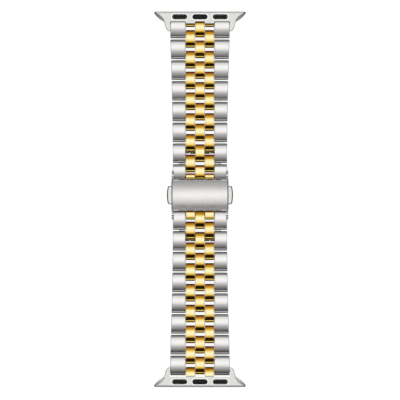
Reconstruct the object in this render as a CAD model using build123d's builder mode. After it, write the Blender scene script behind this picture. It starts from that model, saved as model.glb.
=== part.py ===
from build123d import *
from math import sqrt
import os

os.makedirs("parts", exist_ok=True)

# Rows of links along the band
pitch = 8.30
rows = 8
link_gap = 0.50
bead_gap = 1.20
short_bead_gap = {"upper": 0.35, "lower": 0.75}
lug_bead_gap = 0.25
lug_bead_round = 0.30
knuckle_flat = 0.20
pin_offset = pitch / 4
link_length = pitch - link_gap
bead_length = pitch - bead_gap
first_gap = {"upper": 12.60, "lower": 14.10}
sides = {"upper": 1, "lower": -1}

# Columns across the band
centre_bead_width = 3.72
side_bead_width = 3.66
column_gap = 0.12
side_bead_inner = centre_bead_width / 2 + column_gap
side_bead_outer = side_bead_inner + side_bead_width
link_inner = side_bead_outer + column_gap
clasp_end_half_width = 10.84
lug_end_half_width = 11.84
taper_start = 8.00
taper_length = 53.70

# Shape of a link seen from its side
link_height = 3.00
link_crown_radius = 14.00
bead_crown_radius = 8.00
shoulder_radius = 1.30
link_foot_radius = 0.80
bead_foot_radius = 0.50
end_foot_radius = 1.15
short_bead_radius = 1.00
link_edge = 0.22
bead_edge = 0.15

# Pins and bars
pin_height = link_height / 2
pin_radius = 0.50
bar_radius = 0.60
bar_tip_radius = 0.40
press_clearance = 0.01
running_clearance = 0.04
pin_recess = 0.15

# Clasp bridge and wings
bridge_thickness = 0.90
bridge_half_width = 8.50
bridge_corner = 1.50
hinge_distance = 17.50
hinge_height = 1.20
hinge_pin_radius = 0.45
knuckle_radius = 0.95
knuckle_gap = 0.20
knuckle_web = 1.25
centre_knuckle_half = 3.90
link_lift = 0.35
link_base = hinge_height + knuckle_radius + link_lift
wing_gap = 0.20
wing_thickness = 0.65
wing_base = bridge_thickness + wing_gap
wing_start = 6.20
wing_waist_start = 9.90
wing_waist_slope = 1.60
wing_waist_half_width = 8.50
window_half_width = 5.80
window_length = 3.50
window_spacing = 4.20
window_from_hinge = 4.10
window_corner = 0.60
ear_distance = 7.75
ear_radius = 1.70
ear_thickness = 0.82
ear_gap = 0.12
ear_relief = 0.46
ear_end_gap = 0.20
relieved_half_width = clasp_end_half_width - ear_relief
ear_inner = relieved_half_width + ear_gap
ear_outer = ear_inner + ear_thickness

# Clasp cover
cover_overhang = 0.12
cover_half_width = ear_outer + cover_overhang
cover_half_length = 5.95
cover_wall = 0.94
cover_top = 6.20
cover_crown_radius = 24.00
cover_roof = 0.90
cover_bevel_length = 0.95
cover_bevel_drop = 0.60
cover_side_bevel = 0.55
cover_corner = 0.30
end_wall_base = 2.15
end_clearance = 0.23

# Push buttons
button_half_length = 3.74
button_base = 2.30
button_height = 2.50
button_proud = 1.80
button_bulge = 0.50
button_corner = 0.60
button_edge = 0.50
button_clearance = 0.10
button_flange = 0.55
button_flange_thickness = 1.00
button_flange_gap = 0.05
button_travel = 0.90
stem_inner = 5.20
stem_half_width = 2.40
stem_base = 2.60
stem_height = 2.00
finger_inner = 7.60
finger_width = 1.10
finger_base = 1.15
finger_thickness = 0.60
finger_reach = 6.85
finger_clearance = 0.15
post_half = 1.20
post_half_width = 1.60
post_top = 4.60
spring_radius = 0.70
spring_wire_radius = 0.18
spring_turns = 4

# Lug adapters, seen from above
lug_inset = {"upper": 0.75, "lower": 2.60}
lug_depth = 3.95
lug_tip_x = 18.47
lug_tip_y = 3.47
lug_nose_x = 17.80
flank_x = 16.60
flank_y = 1.33
waist_x = 14.25
waist_y = -0.16
plate_nose_x = 17.20
plate_tip_x = 17.60
plate_tip_y = 3.20
plate_flank_x = 15.80
plate_flank_y = 2.10
lug_ear_inner = 11.96
lug_ear_length = 4.00
ear_side_x = 13.66
ear_side_y = -2.44
ear_round_x = 13.15
ear_round_y = -3.32

# Lug adapters, seen from the side
lug_height = 3.70
rail_height = 2.60
rail_slope_drop = 0.90
rail_slope_width = 1.05
lug_rim = 0.20
tongue_length = 0.80
tongue_thickness = 0.30
lug_lip = 0.70
lug_lip_drop = 0.55
link_sweep_radius = 2.08
bead_sweep_radius = 1.78
pocket_ceiling = 3.10
foot_pocket_height = 1.45
foot_pocket_reach = 2.85
bar_seat_depth = 1.10

# Pads and latch of a lug adapter
pad_length = 5.36
pad_width = 1.36
pad_spacing = 8.10
pad_from_edge = 1.80
pad_rim = 0.32
pad_clearance = 0.05
pad_proud = 0.15
pad_round = 0.28
pad_seat_depth = 0.90
latch_seat_depth = 1.35
latch_travel = 0.40
latch_floor_gap = 0.05
latch_length = latch_seat_depth + pad_proud - latch_travel - latch_floor_gap
latch_flange = 0.15
latch_flange_thickness = 0.30
latch_flange_gap = 0.05


# The band's middle sits behind the clasp, because the lower half is a little longer
def lug_edge(half):
    return first_gap[half] + pitch * (rows - 1) - pin_offset + lug_inset[half]


clasp_y = (lug_edge("lower") - lug_edge("upper")) / 2


def plan(half, height):
    """A level plane whose y runs from the clasp towards this half's lug."""
    turn = sides[half]
    return Plane(origin=(0, clasp_y, height), x_dir=(turn, 0, 0), z_dir=(0, 0, 1))


def flank(half, across, along, height):
    """An upright plane whose x runs along the band and whose normal points across it."""
    turn = sides[half]
    spot = (turn * across, clasp_y + turn * along, height)
    return Plane(origin=spot, x_dir=(0, turn, 0), z_dir=(turn, 0, 0))


def outer_half_width(along):
    """How far the steel edge stands from the middle at a distance from the clasp's centre."""
    share = min(max((along - taper_start) / taper_length, 0), 1)
    return clasp_end_half_width + (lug_end_half_width - clasp_end_half_width) * share**2


def row_span(half, row):
    """Where a row of outer links starts and ends, counted from the clasp's centre."""
    end = first_gap[half] + pitch * (row - 1) - link_gap / 2
    if row == 1:
        return cover_half_length + end_clearance, end
    return end - link_length, end


def row_pins(half, row):
    """The two pin places of a row."""
    gap_centre = first_gap[half] + pitch * (row - 1)
    near = ear_distance if row == 1 else gap_centre - pitch + pin_offset
    return near, gap_centre - pin_offset


def crowned_outline(start, end, crown_radius, shoulder, near_foot, far_foot):
    """The side view of a link: crowned top, round ends, flat foot. Drawn about its middle."""
    half = (end - start) / 2
    inner = half - shoulder
    rise = sqrt((crown_radius - shoulder) ** 2 - inner**2)
    stretch = crown_radius / (crown_radius - shoulder)
    middle = (start + end) / 2
    crown_base = link_height - crown_radius
    left, right = middle - half, middle + half
    end_top = crown_base + rise
    on_crown = crown_base + rise * stretch
    with BuildLine() as outline:
        crown = ThreePointArc(
            (middle - inner * stretch, on_crown),
            (middle, link_height),
            (middle + inner * stretch, on_crown),
        )
        TangentArc(crown @ 1, (right, end_top), tangent=crown % 1)
        TangentArc(crown @ 0, (left, end_top), tangent=-(crown % 0))
        far = Line((right, end_top), (right, far_foot))
        near = Line((left, end_top), (left, near_foot))
        far_round = TangentArc(far @ 1, (right - far_foot, 0), tangent=far % 1)
        near_round = TangentArc(near @ 1, (left + near_foot, 0), tangent=near % 1)
        Line(far_round @ 1, near_round @ 1)
    return outline.edges()


def drill(places, radius):
    """Pin holes in a side view."""
    with Locations(*[(along, pin_height) for along in places]):
        Circle(radius, mode=Mode.SUBTRACT)


def add_pin(along, height, radius, length):
    """A plain pin across the band."""
    with Locations(Location((0, along, height), (0, 90, 0))):
        Cylinder(radius, length)


def world(half, along):
    """A distance from the clasp's centre as a place in the part's frame."""
    return clasp_y + sides[half] * along


def end_foot(row, radius):
    """The row beside the cover turns under it, so its near foot is rounder."""
    return end_foot_radius if row == 1 else radius


def outer_links(half, row):
    """The steel links of a row with their pins. The first is stepped back for the wing's ear."""
    start, end = row_span(half, row)
    near, far = row_pins(half, row)
    wide = max(outer_half_width(start), outer_half_width(end))
    bores = {near: bar_radius if row == 1 else pin_radius, far: pin_radius}
    with BuildPart() as pair:
        with BuildSketch(flank(half, link_inner, 0, link_base)):
            make_face(crowned_outline(start, end, link_crown_radius, shoulder_radius,
                                      end_foot(row, link_foot_radius), link_foot_radius))
            for place, radius in bores.items():
                drill([place], radius + press_clearance)
        extrude(amount=wide - link_inner)
        with BuildSketch(plan(half, link_base)):
            Polygon(
                (link_inner, start),
                (outer_half_width(start), start),
                (outer_half_width(end), end),
                (link_inner, end),
                align=None,
            )
        extrude(amount=link_height, mode=Mode.INTERSECT)
        soften_sides(pair, link_edge)
        if row == 1:
            with BuildSketch(plan(half, link_base)):
                with Locations((relieved_half_width + ear_thickness, ear_distance)):
                    Rectangle(2 * ear_thickness, 2 * (ear_radius + ear_end_gap))
            extrude(amount=link_height, mode=Mode.SUBTRACT)
        mirror(about=Plane.YZ)
        if row == 1:
            add_end_bar(half, near)
        else:
            pin_length = 2 * (outer_half_width(near) - pin_recess)
            add_pin(world(half, near), link_base + pin_height, pin_radius, pin_length)
        if row == rows:
            pin_length = 2 * (lug_ear_inner + bar_seat_depth - pin_recess)
        else:
            pin_length = 2 * (outer_half_width(far) - pin_recess)
        add_pin(world(half, far), link_base + pin_height, pin_radius, pin_length)
    return pair.part


def soften_sides(block, amount):
    """Bevel the rims of the two side faces of a link or bead."""
    faces = block.faces().sort_by(Axis.X)
    rims = faces[0].outer_wire().edges() + faces[-1].outer_wire().edges()
    chamfer(rims, length=amount)


def add_end_bar(half, along):
    """The bar between the wing's ears: a thick barrel with a thin tip at each end."""
    height = link_base + pin_height
    add_pin(world(half, along), height, bar_radius, 2 * (relieved_half_width - pin_recess))
    add_pin(world(half, along), height, bar_tip_radius, 2 * (ear_outer - running_clearance))


def bead_block(half, start, end, holes, inner, width, rounds):
    """One gold bead, drawn from its inner face outwards, with softened side rims."""
    with BuildPart() as bead:
        with BuildSketch(flank(half, inner, 0, link_base)):
            make_face(crowned_outline(start, end, bead_crown_radius, *rounds))
            for place, radius in holes.items():
                drill([place], radius + running_clearance)
        extrude(amount=width)
        soften_sides(bead, bead_edge)
    return bead.part


def lug_bead_end(half):
    """How far the bead on the lug's bar reaches past it, its height there and its rounding."""
    if half == "lower":
        return lug_inset[half] - lug_bead_gap, link_height, lug_bead_round
    crown_drop = bead_crown_radius - sqrt(bead_crown_radius**2 - pin_offset**2)
    knuckle = link_height - crown_drop - pin_height
    return knuckle, pin_height + knuckle, knuckle - knuckle_flat


def lug_bead(half, bar):
    """The short bead on the lug's bar: the near part of a bead, rounded off past the bar."""
    start = bar + pin_offset - bead_length / 2
    reach, top, rounding = lug_bead_end(half)
    end = bar + reach
    with BuildPart() as bead:
        with BuildSketch(flank(half, side_bead_inner, 0, link_base)):
            make_face(crowned_outline(start, start + bead_length, bead_crown_radius,
                                      shoulder_radius, bead_foot_radius, bead_foot_radius))
            with Locations(((start + end) / 2, top / 2)):
                Rectangle(end - start, top, mode=Mode.INTERSECT)
            fillet(vertices().sort_by(Axis.X)[-2:].sort_by(Axis.Y)[0], radius=bead_foot_radius)
            fillet(vertices().sort_by(Axis.X)[-2:].sort_by(Axis.Y)[-1], radius=rounding)
            drill([bar], pin_radius + running_clearance)
        extrude(amount=side_bead_width)
        soften_sides(bead, bead_edge)
    return bead.part


def centre_beads(half, row):
    """The centre bead of a row. The first and last rows also carry short beads on their bar."""
    start, end = row_span(half, row)
    near, far = row_pins(half, row)
    slack = (bead_gap - link_gap) / 2
    holes = {near: bar_radius if row == 1 else pin_radius, far: pin_radius}
    bead_start = start if row == 1 else start + slack
    left = -centre_bead_width / 2
    blocks = [bead_block(half, bead_start, end - slack, holes, left, centre_bead_width,
                         (shoulder_radius, end_foot(row, bead_foot_radius), bead_foot_radius))]
    if row == 1:
        short_end = first_gap[half] - bead_length / 2 - short_bead_gap[half]
        blocks.append(bead_block(half, start, short_end, {near: bar_radius},
                                 side_bead_inner, side_bead_width,
                                 (short_bead_radius, short_bead_radius, short_bead_radius)))
    if row == rows:
        blocks.append(lug_bead(half, far))
    with BuildPart() as centre:
        add(blocks)
        for short in blocks[1:]:
            mirror(short, about=Plane.YZ)
    return centre.part


def side_beads(half, gap):
    """The pair of gold beads that bridge one gap between two rows."""
    middle = first_gap[half] + pitch * (gap - 1)
    holes = {middle - pin_offset: pin_radius, middle + pin_offset: pin_radius}
    bead = bead_block(half, middle - bead_length / 2, middle + bead_length / 2, holes,
                      side_bead_inner, side_bead_width,
                      (shoulder_radius, bead_foot_radius, bead_foot_radius))
    with BuildPart() as pair:
        add(bead)
        mirror(about=Plane.YZ)
    return pair.part


def cut_windows(ends):
    """The two windows at each end, through which light falls between the rows."""
    near_hinge = hinge_distance - window_from_hinge
    places = [(0, end * along) for end in ends for along in (near_hinge, near_hinge - window_spacing)]
    with Locations(*places):
        RectangleRounded(2 * window_half_width, window_length, window_corner, mode=Mode.SUBTRACT)


def clasp_bridge():
    """The plate on the wrist side, with a knuckle at each end and the springs' post."""
    with BuildPart() as bridge:
        with BuildSketch(plan("upper", 0)):
            Rectangle(2 * bridge_half_width, 2 * (hinge_distance - knuckle_web))
            fillet(vertices(), radius=bridge_corner)
            Rectangle(2 * centre_knuckle_half, 2 * hinge_distance)
            Rectangle(2 * cover_half_width, 2 * cover_half_length)
            cut_windows((-1, 1))
        extrude(amount=bridge_thickness)
        with BuildSketch(flank("upper", 0, 0, hinge_height)):
            with Locations((-hinge_distance, 0), (hinge_distance, 0)):
                Circle(knuckle_radius)
        extrude(amount=centre_knuckle_half, both=True)
        with BuildSketch(flank("upper", 0, 0, hinge_height)):
            with Locations((-hinge_distance, 0), (hinge_distance, 0)):
                Circle(hinge_pin_radius + press_clearance)
        extrude(amount=centre_knuckle_half, both=True, mode=Mode.SUBTRACT)
        with BuildSketch(plan("upper", bridge_thickness)):
            Rectangle(2 * post_half, 2 * post_half_width)
        extrude(amount=post_top - bridge_thickness)
    return bridge.part


def clasp_pins():
    """The two pins on which the wings turn."""
    with BuildPart() as pins:
        for half in sides:
            add_pin(world(half, hinge_distance), hinge_height, hinge_pin_radius,
                    2 * (wing_waist_half_width - pin_recess))
    return pins.part


def clasp_cover():
    """The crowned cover with bevelled rims, open below and at the two button windows."""
    crown_end = cover_half_length - cover_bevel_length
    crown_drop = cover_crown_radius - sqrt(cover_crown_radius**2 - crown_end**2)
    crown_low = cover_top - crown_drop
    bevel_low = crown_low - cover_bevel_drop
    roof = cover_top - cover_roof
    inner_half_width = cover_half_width - cover_wall
    inner_half_length = cover_half_length - cover_wall
    with BuildPart() as cover:
        with BuildSketch(flank("upper", 0, 0, 0)):
            with BuildLine():
                ThreePointArc((-crown_end, crown_low), (0, cover_top), (crown_end, crown_low))
                Polyline(
                    (crown_end, crown_low),
                    (cover_half_length, bevel_low),
                    (cover_half_length, bridge_thickness),
                    (-cover_half_length, bridge_thickness),
                    (-cover_half_length, bevel_low),
                    (-crown_end, crown_low),
                )
            make_face()
        extrude(amount=cover_half_width, both=True)
        ends = cover.faces().sort_by(Axis.X)
        rims = [e for e in (ends[0].edges() + ends[-1].edges())
                if e.bounding_box().min.Z > roof - cover_bevel_drop
                and e.bounding_box().size.Y > cover_corner]
        chamfer(rims, length=cover_side_bevel)
        chamfer(cover.edges().filter_by(Axis.Z), length=cover_corner)
        with BuildSketch(plan("upper", bridge_thickness)):
            Rectangle(2 * inner_half_width, 2 * inner_half_length)
        extrude(amount=roof - bridge_thickness, mode=Mode.SUBTRACT)
        with BuildSketch(plan("upper", bridge_thickness)):
            Rectangle(2 * inner_half_width, 2 * cover_half_length)
        extrude(amount=end_wall_base - bridge_thickness, mode=Mode.SUBTRACT)
        with BuildSketch(plan("upper", button_base - button_clearance)):
            Rectangle(2 * cover_half_width, 2 * (button_half_length + button_clearance))
        extrude(amount=button_height + 2 * button_clearance, mode=Mode.SUBTRACT)
    return cover.part


def push_button():
    """The right push button: rounded head, flange behind the wall, stem and catch finger."""
    head_start = cover_half_width - cover_wall - button_flange_gap
    flange_start = head_start - button_flange_thickness
    head_side = cover_half_width + button_proud - button_bulge
    with BuildPart() as button:
        with BuildSketch(plan("upper", button_base)):
            with BuildLine():
                Polyline(
                    (head_side, button_half_length),
                    (flange_start, button_half_length),
                    (flange_start, -button_half_length),
                    (head_side, -button_half_length),
                )
                ThreePointArc(
                    (head_side, -button_half_length),
                    (head_side + button_bulge, 0),
                    (head_side, button_half_length),
                )
            make_face()
            fillet(vertices().sort_by(Axis.X)[-2:], radius=button_corner)
        extrude(amount=button_height)
        front = button.edges().filter_by(lambda e: e.bounding_box().min.X > flange_start)
        level = front.filter_by(lambda e: e.bounding_box().size.Z < button_edge)
        chamfer(level, length=button_edge)
        with BuildSketch(plan("upper", button_base)):
            with Locations(((flange_start + head_start) / 2, 0)):
                Rectangle(button_flange_thickness, 2 * (button_half_length + button_flange))
        extrude(amount=button_height)
        with BuildSketch(plan("upper", stem_base)):
            with Locations(((stem_inner + flange_start) / 2, 0)):
                Rectangle(flange_start - stem_inner, 2 * stem_half_width)
        extrude(amount=min(stem_height, button_height))
        with BuildSketch(plan("upper", finger_base)):
            with Locations((finger_inner + finger_width / 2, 0)):
                Rectangle(finger_width, 2 * finger_reach)
        extrude(amount=finger_thickness)
        with BuildSketch(plan("upper", finger_base)):
            with Locations((finger_inner + finger_width / 2, 0)):
                Rectangle(finger_width, 2 * stem_half_width)
        extrude(amount=stem_base - finger_base)
    return button.part


def pusher_springs():
    """The two return coils between the bridge's post and the buttons' stems."""
    start = post_half + spring_wire_radius
    length = stem_inner - post_half - 2 * spring_wire_radius
    height = stem_base + stem_height / 2
    with BuildPart() as springs:
        with BuildLine() as coil:
            Helix(
                pitch=length / spring_turns,
                height=length,
                radius=spring_radius,
                center=(start, clasp_y, height),
                direction=(1, 0, 0),
            )
        with BuildSketch(Plane(origin=coil.line @ 0, z_dir=coil.line % 0)):
            Circle(spring_wire_radius)
        sweep(path=coil.line, is_frenet=True)
        mirror(about=Plane.YZ)
    return springs.part


def wing(half):
    """A folding wing: plate, two ears for the band's end bar, and two hinge knuckles."""
    hinge_side = centre_knuckle_half + knuckle_gap
    with BuildPart() as folding:
        with BuildSketch(plan(half, wing_base)):
            Polygon(
                (-ear_outer, wing_start),
                (ear_outer, wing_start),
                (ear_outer, wing_waist_start),
                (wing_waist_half_width, wing_waist_start + wing_waist_slope),
                (wing_waist_half_width, hinge_distance),
                (-wing_waist_half_width, hinge_distance),
                (-wing_waist_half_width, wing_waist_start + wing_waist_slope),
                (-ear_outer, wing_waist_start),
                align=None,
            )
            cut_windows((1,))
            with Locations((0, hinge_distance)):
                Rectangle(2 * hinge_side, 2 * knuckle_web, mode=Mode.SUBTRACT)
            notch_inner = finger_inner - button_travel - finger_clearance
            notch_outer = finger_inner + finger_width + finger_clearance
            middle = (notch_inner + notch_outer) / 2
            with Locations((-middle, wing_start), (middle, wing_start)):
                Rectangle(notch_outer - notch_inner,
                          2 * (finger_reach + finger_clearance - wing_start),
                          mode=Mode.SUBTRACT)
        extrude(amount=wing_thickness)
        with BuildSketch(flank(half, ear_inner, ear_distance, wing_base)):
            lift = link_base + pin_height - wing_base
            with Locations((0, lift / 2)):
                Rectangle(2 * ear_radius, lift)
            with Locations((0, lift)):
                Circle(ear_radius)
                Circle(bar_tip_radius + running_clearance, mode=Mode.SUBTRACT)
        extrude(amount=ear_thickness)
        with BuildSketch(flank(half, hinge_side, hinge_distance, hinge_height)):
            Circle(knuckle_radius)
        extrude(amount=wing_waist_half_width - hinge_side)
        mirror(about=Plane.YZ)
        with BuildSketch(flank(half, 0, hinge_distance, hinge_height)):
            Circle(hinge_pin_radius + running_clearance)
        extrude(amount=wing_waist_half_width, both=True, mode=Mode.SUBTRACT)
    return folding.part


def lug_outline(half, nose_x, tip_x, tip_y, side_x, side_y):
    """One side of a lug adapter from above: ear, curved flank, tip and front."""
    edge = lug_edge(half)
    with BuildLine() as outline:
        Polyline(
            (0, edge),
            (lug_ear_inner, edge),
            (lug_ear_inner, edge - lug_ear_length),
        )
        ThreePointArc(
            (lug_ear_inner, edge - lug_ear_length),
            (ear_round_x, edge + ear_round_y),
            (ear_side_x, edge + ear_side_y),
        )
        Line((ear_side_x, edge + ear_side_y), (waist_x, edge + waist_y))
        ThreePointArc(
            (waist_x, edge + waist_y),
            (side_x, edge + side_y),
            (tip_x, edge + tip_y),
        )
        Polyline(
            (tip_x, edge + tip_y),
            (nose_x, edge + lug_depth),
            (0, edge + lug_depth),
            (0, edge),
        )
    return outline.edges()


def lug_body(half):
    """A lug adapter. The upper one also has a tongue over each short bead."""
    edge = lug_edge(half)
    bar = row_pins(half, rows)[1]
    bar_height = link_base + pin_height
    top = link_base + lug_height
    with BuildPart() as lug:
        with BuildSketch(plan(half, link_base)):
            make_face(lug_outline(half, lug_nose_x, lug_tip_x, lug_tip_y, flank_x, flank_y))
        extrude(amount=rail_height)
        slope_rail(lug)
        with BuildSketch(plan(half, link_base)):
            make_face(lug_outline(half, plate_nose_x, plate_tip_x, plate_tip_y,
                                  plate_flank_x, plate_flank_y))
        extrude(amount=lug_height)
        bevel_plate(lug)
        if half == "upper":
            with BuildSketch(plan(half, link_base + pocket_ceiling)):
                with Locations(((side_bead_inner + side_bead_outer) / 2,
                                edge - tongue_length / 2)):
                    Rectangle(side_bead_width, tongue_length)
            extrude(amount=tongue_thickness)
        with BuildSketch(flank(half, 0, edge + lug_depth, top)):
            Polygon((0, 0), (-lug_lip, 0), (0, -lug_lip_drop), align=None)
        extrude(amount=lug_tip_x, mode=Mode.SUBTRACT)
        with BuildSketch(flank(half, 0, bar, bar_height)):
            pocket_outline(bead_sweep_radius)
        extrude(amount=link_inner, mode=Mode.SUBTRACT)
        with BuildSketch(flank(half, link_inner, bar, bar_height)):
            pocket_outline(link_sweep_radius)
        extrude(amount=lug_ear_inner - link_inner, mode=Mode.SUBTRACT)
        with BuildSketch(flank(half, lug_ear_inner, bar, bar_height)):
            Circle(pin_radius + running_clearance)
        extrude(amount=bar_seat_depth, mode=Mode.SUBTRACT)
        mirror(about=Plane.YZ)
        with BuildSketch(plan(half, top - pad_seat_depth)):
            slots_at(half, (-1, 0, 1), pad_clearance)
        extrude(amount=pad_seat_depth, mode=Mode.SUBTRACT)
        with BuildSketch(plan(half, top - latch_seat_depth)):
            slots_at(half, (0,), pad_clearance + latch_flange)
        extrude(amount=latch_undercut(), mode=Mode.SUBTRACT)
        rims = lug.edges().filter_by(lambda e: on_slot_rim(e, half, top))
        chamfer(rims, length=pad_rim)
    return lug.part


def bevel_plate(lug):
    """Bevel the plate's rim along its flank and ear."""
    upper = lug.faces().sort_by(Axis.Z)[-1]
    rims = upper.edges().filter_by(lambda e: abs(e.center().X) > lug_ear_inner)
    chamfer(rims.sort_by(SortBy.LENGTH)[-3:], length=lug_rim)


def slope_rail(lug):
    """Let the rail's top fall away towards its flank."""
    upper = lug.faces().sort_by(Axis.Z)[-1]
    curve = upper.edges().filter_by(GeomType.CIRCLE).sort_by(SortBy.LENGTH)[-1]
    chamfer(curve, length=rail_slope_width, length2=rail_slope_drop, reference=upper)


def pocket_outline(sweep_radius):
    """Side view of the room for the last row, drawn about the bar."""
    ceiling = pocket_ceiling - pin_height
    Circle(sweep_radius)
    with Locations((0, ceiling + sweep_radius)):
        Rectangle(4 * sweep_radius, 2 * sweep_radius, mode=Mode.SUBTRACT)
    with Locations((0, -pin_height)):
        Rectangle(2 * foot_pocket_reach, 2 * foot_pocket_height)


def latch_undercut():
    """Height of the wider room under the latch's rim, in which its flange travels."""
    return latch_floor_gap + latch_travel + latch_flange_thickness + latch_flange_gap


def slots_at(half, places, clearance):
    """Oval outlines along the lug's front, at whole steps of the pads' spacing."""
    along = lug_edge(half) + pad_from_edge
    with Locations(*[(place * pad_spacing, along) for place in places]):
        SlotOverall(pad_length + 2 * clearance, pad_width + 2 * clearance)


def on_slot_rim(edge, half, top):
    """The rims of the three oval seats in the lug's top face."""
    box = edge.bounding_box()
    near = world(half, lug_edge(half) + pad_from_edge)
    reach = pad_width
    level = abs(box.min.Z - top) < pad_clearance and box.size.Z < pad_clearance
    return level and abs(box.min.Y - near) < reach and abs(box.max.Y - near) < reach \
        and box.size.X < pad_spacing and box.size.Y < reach


def rail_pads(half):
    """The two soft side pads of a lug adapter."""
    top = link_base + lug_height
    with BuildPart() as pads:
        with BuildSketch(plan(half, top - pad_seat_depth)):
            slots_at(half, (-1, 1), 0)
        extrude(amount=pad_seat_depth + pad_proud)
        fillet(pads.faces().filter_by(Axis.Z).sort_by(Axis.Z)[-2:].edges(), radius=pad_round)
    return pads.part


def latch(half):
    """The sprung latch in the middle seat, with a flange that keeps it in."""
    rest = link_base + lug_height + pad_proud - latch_length
    with BuildPart() as oval:
        with BuildSketch(plan(half, rest)):
            slots_at(half, (0,), 0)
        extrude(amount=latch_length)
        fillet(oval.faces().sort_by(Axis.Z)[-1].edges(), radius=pad_round)
        with BuildSketch(plan(half, rest)):
            slots_at(half, (0,), latch_flange)
        extrude(amount=latch_flange_thickness)
    return oval.part


# Links and beads of both halves
for half in sides:
    for row in range(1, rows + 1):
        links = outer_links(half, row)
        links.label = f"pinned_outer_links_{half}_{row}"
        export_step(links, f"parts/{links.label}.step")
        centre = centre_beads(half, row)
        centre.label = f"centre_bead_{half}_{row}"
        export_step(centre, f"parts/{centre.label}.step")
    for gap in range(1, rows):
        pair = side_beads(half, gap)
        pair.label = f"side_beads_{half}_{gap}"
        export_step(pair, f"parts/{pair.label}.step")

# Clasp
clasp = {
    "clasp_bridge": clasp_bridge(),
    "clasp_cover": clasp_cover(),
    "clasp_pins": clasp_pins(),
    "pusher_springs": pusher_springs(),
    "pusher_right": push_button(),
}
clasp["pusher_left"] = mirror(clasp["pusher_right"], about=Plane.YZ)

# Wings and lug adapters
for half in sides:
    clasp[f"wing_{half}"] = wing(half)
    clasp[f"lug_{half}"] = lug_body(half)
    clasp[f"rail_pads_{half}"] = rail_pads(half)
    clasp[f"latch_{half}"] = latch(half)

for name, piece in clasp.items():
    piece.label = name
    export_step(piece, f"parts/{name}.step")
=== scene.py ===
import math

import bpy
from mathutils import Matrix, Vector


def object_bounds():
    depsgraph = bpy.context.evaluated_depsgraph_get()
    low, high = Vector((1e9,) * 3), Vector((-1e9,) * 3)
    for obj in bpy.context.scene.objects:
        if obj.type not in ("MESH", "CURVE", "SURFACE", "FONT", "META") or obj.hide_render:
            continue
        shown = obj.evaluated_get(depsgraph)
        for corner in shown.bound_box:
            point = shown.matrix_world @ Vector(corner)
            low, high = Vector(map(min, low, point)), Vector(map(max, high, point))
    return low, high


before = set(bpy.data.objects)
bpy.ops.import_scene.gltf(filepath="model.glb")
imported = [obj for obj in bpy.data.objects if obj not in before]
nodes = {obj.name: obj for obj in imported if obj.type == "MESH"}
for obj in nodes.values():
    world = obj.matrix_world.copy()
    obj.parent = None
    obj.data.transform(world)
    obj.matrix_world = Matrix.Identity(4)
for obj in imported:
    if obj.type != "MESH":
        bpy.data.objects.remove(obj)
cad_low, cad_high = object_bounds()

# A direction or a surface counts as sideways from the first share across the band, and fully
# from the second
side_start, side_full = 0.35, 0.55


# Node helpers
def new_material(name):
    material = bpy.data.materials.new(name)
    material.use_nodes = True
    tree = material.node_tree
    tree.nodes.clear()
    output = tree.nodes.new("ShaderNodeOutputMaterial")
    shader = tree.nodes.new("ShaderNodeBsdfPrincipled")
    tree.links.new(shader.outputs[0], output.inputs[0])
    return material, tree, shader


def solid(value):
    """A colour with alpha, from a colour or a grey."""
    return (*value, 1) if isinstance(value, tuple) else (value, value, value, 1)


def put(tree, socket, value):
    """Set a socket to a number, grey or colour, or link an output to it."""
    if isinstance(value, (int, float, tuple)):
        socket.default_value = solid(value) if socket.type == "RGBA" else value
    else:
        tree.links.new(value, socket)


def math_node(tree, operation, a, b=0.0):
    node = tree.nodes.new("ShaderNodeMath")
    node.operation = operation
    put(tree, node.inputs[0], a)
    put(tree, node.inputs[1], b)
    return node.outputs[0]


def remap(tree, value, low, high, to_low=0.0, to_high=1.0):
    node = tree.nodes.new("ShaderNodeMapRange")
    put(tree, node.inputs["Value"], value)
    node.inputs["From Min"].default_value = low
    node.inputs["From Max"].default_value = high
    node.inputs["To Min"].default_value = to_low
    node.inputs["To Max"].default_value = to_high
    return node.outputs[0]


def mix_number(tree, factor, a, b):
    node = tree.nodes.new("ShaderNodeMix")
    put(tree, node.inputs[0], factor)
    put(tree, node.inputs[2], a)
    put(tree, node.inputs[3], b)
    return node.outputs[0]


def mix_colour(tree, factor, a, b, blend="MIX"):
    node = tree.nodes.new("ShaderNodeMix")
    node.data_type = "RGBA"
    node.blend_type = blend
    put(tree, node.inputs[0], factor)
    put(tree, node.inputs[6], a)
    put(tree, node.inputs[7], b)
    return node.outputs[2]


def ramp(tree, value, low, high, stops):
    """A colour for each value between low and high, given as pairs of value and colour."""
    node = tree.nodes.new("ShaderNodeValToRGB")
    put(tree, node.inputs[0], remap(tree, value, low, high))
    marks = node.color_ramp.elements
    while len(marks) < len(stops):
        marks.new(0.5)
    for mark, (place, colour) in zip(marks, stops):
        mark.position = (place - low) / (high - low)
        mark.color = solid(colour)
    return node.outputs[0]


def coordinates(tree, space):
    """The x, y and z outputs of one of the texture coordinates."""
    place = tree.nodes.new("ShaderNodeTexCoord")
    parts = tree.nodes.new("ShaderNodeSeparateXYZ")
    tree.links.new(place.outputs[space], parts.inputs[0])
    return parts.outputs


def stretched_noise(tree, scale, detail):
    """Noise in the object's own space, stretched by a scale for each axis."""
    place = tree.nodes.new("ShaderNodeTexCoord")
    stretch = tree.nodes.new("ShaderNodeMapping")
    stretch.inputs["Scale"].default_value = scale
    noise = tree.nodes.new("ShaderNodeTexNoise")
    noise.inputs["Scale"].default_value = 1.0
    noise.inputs["Detail"].default_value = detail
    tree.links.new(place.outputs["Object"], stretch.inputs["Vector"])
    tree.links.new(stretch.outputs["Vector"], noise.inputs["Vector"])
    return noise.outputs["Fac"]


def patchy(tree, noise, roughness, share):
    """A roughness that a noise takes up and down by a share of itself."""
    noise_low, noise_high = 0.3, 0.7
    smooth, rough = roughness * (1 - share), roughness * (1 + share)
    return remap(tree, noise, noise_low, noise_high, smooth, rough)


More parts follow.
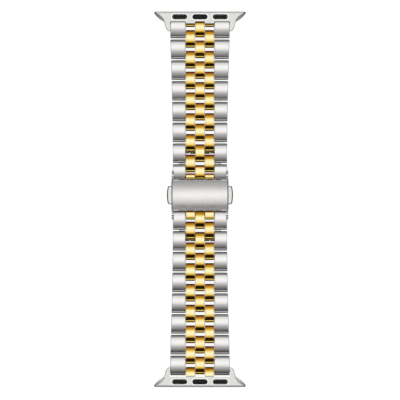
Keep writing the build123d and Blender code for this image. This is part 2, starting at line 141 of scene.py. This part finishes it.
# Metals
patch_grain = (420.0, 420.0, 420.0)
streak_low, streak_high = 0.35, 0.65    # noise of the darkest and of the brightest streaks
slope_lean, face_lean = 0.75, 0.95      # lean of a bevel and of a side face
scratch_depth = 0.00002
warm = (1.0, 0.985, 0.96)

# The lug adapters' pads and the painted highlight round them, in metres
pad_half_spacing = 0.00405
pad_half_straight = 0.0020              # half of the straight part of a pad's outline
pad_row = 0.07285                       # from the bracelet's middle to the row of pads
pad_row_half_width = 0.0122
rim_end, rim_full = 0.00146, 0.00134    # from a pad's centre line


def pad_rim_highlight(tree):
    """1 on the rims round the three pads of a lug adapter, where a highlight is painted, 0
    elsewhere.
    """
    x, y, _ = coordinates(tree, "Object")
    across = math_node(tree, "ABSOLUTE", x)
    from_centre = math_node(tree, "PINGPONG", across, pad_half_spacing)
    beside = math_node(tree, "SUBTRACT", from_centre, pad_half_straight)
    beside = math_node(tree, "MAXIMUM", beside, 0.0)
    along = math_node(tree, "SUBTRACT", math_node(tree, "ABSOLUTE", y), pad_row)
    squares = math_node(tree, "ADD", math_node(tree, "MULTIPLY", beside, beside),
                        math_node(tree, "MULTIPLY", along, along))
    near = remap(tree, math_node(tree, "SQRT", squares), rim_end, rim_full)
    in_row = math_node(tree, "LESS_THAN", across, pad_row_half_width)
    return math_node(tree, "MULTIPLY", near, in_row)


def metal(name, painted_shades, painted_side_shades, roughness, side_roughness, grain, relief, rim_highlight=None):
    """Brushed or polished metal: shade and highlight painted into its colour by its lean along
    and across the band, then grain and softer patches.
    """
    material, tree, shader = new_material(name)
    x, along, _ = coordinates(tree, "Normal")
    across = math_node(tree, "ABSOLUTE", x)
    lines = stretched_noise(tree, grain, detail=4.0)
    cloud = stretched_noise(tree, patch_grain, detail=2.0)

    # Painted shade and highlight: the colour follows the surface's lean along the band
    painted_light_tone = ramp(tree, along, -1.0, 1.0, painted_shades)
    # Painted shade: bevels and side faces take their own darker tones by their lean across the
    # band
    sideways = remap(tree, across, side_start, side_full)
    slope_shade, face_shade = painted_side_shades
    painted_sides = ramp(tree, across, 0.0, 1.0, ((slope_lean, slope_shade), (face_lean, face_shade)))
    painted_light_tone = mix_colour(tree, sideways, painted_light_tone, painted_sides)
    # Painted highlight: the rims round the pads are painted white
    if rim_highlight:
        painted_light_tone = mix_colour(tree, rim_highlight(tree), painted_light_tone, 1.0)
    dull = tuple((1.0 - 2 * relief) * part for part in warm)
    streak = ramp(tree, lines, 0.0, 1.0, ((streak_low, dull), (streak_high, warm)))
    put(tree, shader.inputs["Base Color"], mix_colour(tree, 1.0, painted_light_tone, streak, "MULTIPLY"))

    shader.inputs["Metallic"].default_value = 1.0
    spread = patchy(tree, cloud, roughness, share=0.12)
    rough = mix_number(tree, sideways, spread, side_roughness)
    put(tree, shader.inputs["Roughness"], rough)

    bump = tree.nodes.new("ShaderNodeBump")
    bump.inputs["Strength"].default_value = relief
    bump.inputs["Distance"].default_value = scratch_depth
    put(tree, bump.inputs["Height"], lines)
    put(tree, shader.inputs["Normal"], bump.outputs[0])
    return material


# Painted shade and highlight by lean: -1 faces the -y end of the band, 0 faces neither end, 1
# faces the +y end
link_painted_shades = (
    (-1.0, 0.55), (-0.75, 0.45), (-0.42, 0.65), (-0.25, 0.46), (-0.10, 0.45), (-0.04, 0.57),
    (0.0, 0.80), (0.06, 0.94), (0.09, 0.94), (0.14, 0.86), (0.19, 0.70), (0.26, 0.62),
    (0.50, 0.45), (0.75, 0.35), (1.0, 0.55),
)
cover_painted_shades = (
    (-1.0, 0.60), (-0.80, 0.35), (-0.45, 0.35), (-0.22, 0.95), (-0.10, 0.90), (0.0, 0.95),
    (0.06, 0.82), (0.12, 0.60), (0.20, 0.42), (0.40, 0.55), (0.80, 0.50), (1.0, 0.60),
)
lug_painted_shades = (
    (-1.0, 0.60), (-0.75, 0.35), (-0.55, 0.30), (-0.20, 0.60), (0.0, 0.78),
    (0.20, 0.80), (0.60, 0.60), (0.80, 0.50), (1.0, 0.60),
)
plain_painted_shades = ((-1.0, 0.55), (0.0, 0.84), (1.0, 0.55))
# Gold's painted reflections: a pale highlight on faces turned up, black bands on faces turned
# hard towards either end, saturated shade between
gold_painted_reflections = (
    (-1.0, (0.70, 0.45, 0.12)), (-0.80, (0.25, 0.08, 0.02)), (-0.64, (0.25, 0.08, 0.02)),
    (-0.56, (1.0, 0.74, 0.14)), (-0.35, (1.0, 0.66, 0.12)), (-0.18, (1.0, 0.46, 0.03)),
    (-0.13, (1.0, 0.60, 0.09)), (-0.08, (1.0, 0.74, 0.22)), (-0.03, (1.0, 0.85, 0.41)),
    (0.05, (1.0, 0.92, 0.58)), (0.12, (1.0, 0.91, 0.56)), (0.17, (1.0, 0.81, 0.36)),
    (0.22, (1.0, 0.66, 0.14)), (0.27, (1.0, 0.52, 0.045)), (0.40, (0.80, 0.30, 0.03)),
    (0.55, (0.25, 0.08, 0.015)), (0.80, (0.25, 0.08, 0.015)), (1.0, (0.70, 0.45, 0.12)),
)

# Each metal below has shade and highlight painted into its colour by its lean
steel_links = metal(
    "brushed_link_steel", link_painted_shades, painted_side_shades=(0.45, 0.60), roughness=0.20,
    side_roughness=0.12, grain=(9000.0, 500.0, 9000.0), relief=0.03,
)
steel_cover = metal(
    "brushed_cover_steel", cover_painted_shades, painted_side_shades=(0.38, 0.60), roughness=0.26,
    side_roughness=0.16, grain=(9000.0, 400.0, 9000.0), relief=0.03,
)
steel_lugs = metal(
    "satin_lug_steel", lug_painted_shades, painted_side_shades=(0.13, 0.55), roughness=0.22,
    side_roughness=0.18, grain=(2500.0, 2500.0, 2500.0), relief=0.03, rim_highlight=pad_rim_highlight,
)
steel_pushers = metal(
    "satin_pusher_steel", plain_painted_shades, painted_side_shades=(0.20, 0.50), roughness=0.22,
    side_roughness=0.20, grain=(600.0, 7000.0, 7000.0), relief=0.05,
)
steel_clasp = metal(
    "satin_clasp_steel", plain_painted_shades, painted_side_shades=(0.40, 0.60), roughness=0.24,
    side_roughness=0.16, grain=(600.0, 7000.0, 7000.0), relief=0.06,
)
pin_steel = metal(
    "turned_pin_steel", plain_painted_shades, painted_side_shades=(0.50, 0.60), roughness=0.24,
    side_roughness=0.22, grain=(6000.0, 6000.0, 6000.0), relief=0.05,
)
spring_steel = metal(
    "drawn_spring_wire", plain_painted_shades, painted_side_shades=(0.50, 0.60), roughness=0.28,
    side_roughness=0.28, grain=(8000.0, 8000.0, 8000.0), relief=0.06,
)
gold = metal(
    "polished_gold_plate", gold_painted_reflections, painted_side_shades=((0.50, 0.30, 0.07), (0.62, 0.40, 0.12)),
    roughness=0.10, side_roughness=0.08, grain=(5000.0, 700.0, 5000.0), relief=0.015,
)


# Pads
black_low, black_high = (0.004, 0.004, 0.005), (0.014, 0.014, 0.016)
pad_specular = 0.15


def black_pad(name, roughness, grain):
    material, tree, shader = new_material(name)
    speck = stretched_noise(tree, (grain, grain, grain), detail=2.0)
    put(tree, shader.inputs["Base Color"], mix_colour(tree, speck, black_low, black_high))
    put(tree, shader.inputs["Roughness"], patchy(tree, speck, roughness, share=0.2))
    shader.inputs["Specular IOR Level"].default_value = pad_specular
    return material


pad_black = black_pad("black_pad_rubber", roughness=0.28, grain=6000.0)
latch_black = black_pad("black_latch_plastic", roughness=0.20, grain=4000.0)

# Each piece's material, by the start of its name; the first match counts
looks = {
    "pinned_outer_links": steel_links,
    "centre_bead": gold,
    "side_beads": gold,
    "clasp_bridge": steel_clasp,
    "clasp_cover": steel_cover,
    "clasp_pins": pin_steel,
    "pusher_springs": spring_steel,
    "pusher": steel_pushers,
    "wing": steel_clasp,
    "lug": steel_lugs,
    "rail_pads": pad_black,
    "latch": latch_black,
}
for name, piece in nodes.items():
    look = next(look for start, look in looks.items() if name.startswith(start))
    piece.data.materials.clear()
    piece.data.materials.append(look)

# Studio: grey by the angle from straight up, in degrees towards +y. It is brightest overhead,
# black from 21 to 47 degrees on the -y side, and bright low down and at both sides. The camera
# itself sees plain white.
studio_bands = (
    (-180.0, 0.60), (-95.0, 0.90), (-50.0, 0.90), (-47.0, 0.01), (-21.0, 0.01), (-19.5, 0.32),
    (-15.0, 0.68), (-9.0, 0.95), (0.0, 1.04), (14.0, 1.04), (19.0, 1.00), (25.0, 0.85),
    (31.0, 0.55), (37.0, 0.42), (50.0, 0.40), (66.0, 0.70), (78.0, 0.90), (95.0, 0.90),
    (180.0, 0.60),
)
studio_sides = 0.95
world = bpy.data.worlds.new("studio")
bpy.context.scene.world = world
world.use_nodes = True
tree = world.node_tree
tree.nodes.clear()
x, y, z = coordinates(tree, "Generated")
degrees = math_node(tree, "MULTIPLY", math_node(tree, "ARCTAN2", y, z), 180.0 / math.pi)
studio = ramp(tree, degrees, -180.0, 180.0, studio_bands)
sideways = remap(tree, math_node(tree, "ABSOLUTE", x), side_start, side_full)
studio = mix_colour(tree, sideways, studio, studio_sides)
rays = tree.nodes.new("ShaderNodeLightPath")
seen = mix_colour(tree, rays.outputs["Is Camera Ray"], studio, 1.0)
background = tree.nodes.new("ShaderNodeBackground")
put(tree, background.inputs[0], seen)
output = tree.nodes.new("ShaderNodeOutputWorld")
put(tree, output.inputs[0], background.outputs[0])

# Floor: white paper that glows a little, so that it stays white and still takes a soft shadow.
# Reflections see it as plain grey.
floor_half_size = 1.5
paper_grey, paper_glow, paper_roughness, paper_specular = 0.35, 0.88, 0.9, 0.1
reflected_grey = 0.5
corners = [(-1, -1), (1, -1), (1, 1), (-1, 1)]
floor_mesh = bpy.data.meshes.new("floor")
floor_mesh.from_pydata(
    [(floor_half_size * x, floor_half_size * y, 0) for x, y in corners], [], [(0, 1, 2, 3)]
)
floor = bpy.data.objects.new("floor", floor_mesh)
bpy.context.scene.collection.objects.link(floor)
floor.location.z = cad_low.z
paper, tree, shader = new_material("white_paper")
put(tree, shader.inputs["Base Color"], paper_grey)
shader.inputs["Roughness"].default_value = paper_roughness
shader.inputs["Specular IOR Level"].default_value = paper_specular
put(tree, shader.inputs["Emission Color"], 1.0)
shader.inputs["Emission Strength"].default_value = paper_glow
reflected = tree.nodes.new("ShaderNodeBsdfDiffuse")
put(tree, reflected.inputs["Color"], reflected_grey)
rays = tree.nodes.new("ShaderNodeLightPath")
choice = tree.nodes.new("ShaderNodeMixShader")
put(tree, choice.inputs[0], rays.outputs["Is Glossy Ray"])
put(tree, choice.inputs[1], shader.outputs[0])
put(tree, choice.inputs[2], reflected.outputs[0])
output = next(node for node in tree.nodes if node.type == "OUTPUT_MATERIAL")
put(tree, output.inputs[0], choice.outputs[0])
floor_mesh.materials.append(paper)

# Camera straight above, with the object's middle where the photo has it
photo_side, band_in_photo = 400, 375.8      # in the photo's pixels
right, up = 0.05, -0.70                     # from the object's middle, in the photo's pixels
camera_height = 3.0
sensor_width = 36.0
scene = bpy.context.scene
scene.view_settings.view_transform = "Standard"
centre = (cad_low + cad_high) / 2
pixel = (cad_high.y - cad_low.y) / band_in_photo
camera_data = bpy.data.cameras.new("camera")
camera_data.sensor_width = sensor_width
camera_data.lens = sensor_width * (camera_height - cad_high.z) / (photo_side * pixel)
camera = bpy.data.objects.new("camera", camera_data)
scene.collection.objects.link(camera)
camera.location = (centre.x + right * pixel, centre.y + up * pixel, camera_height)
scene.camera = camera
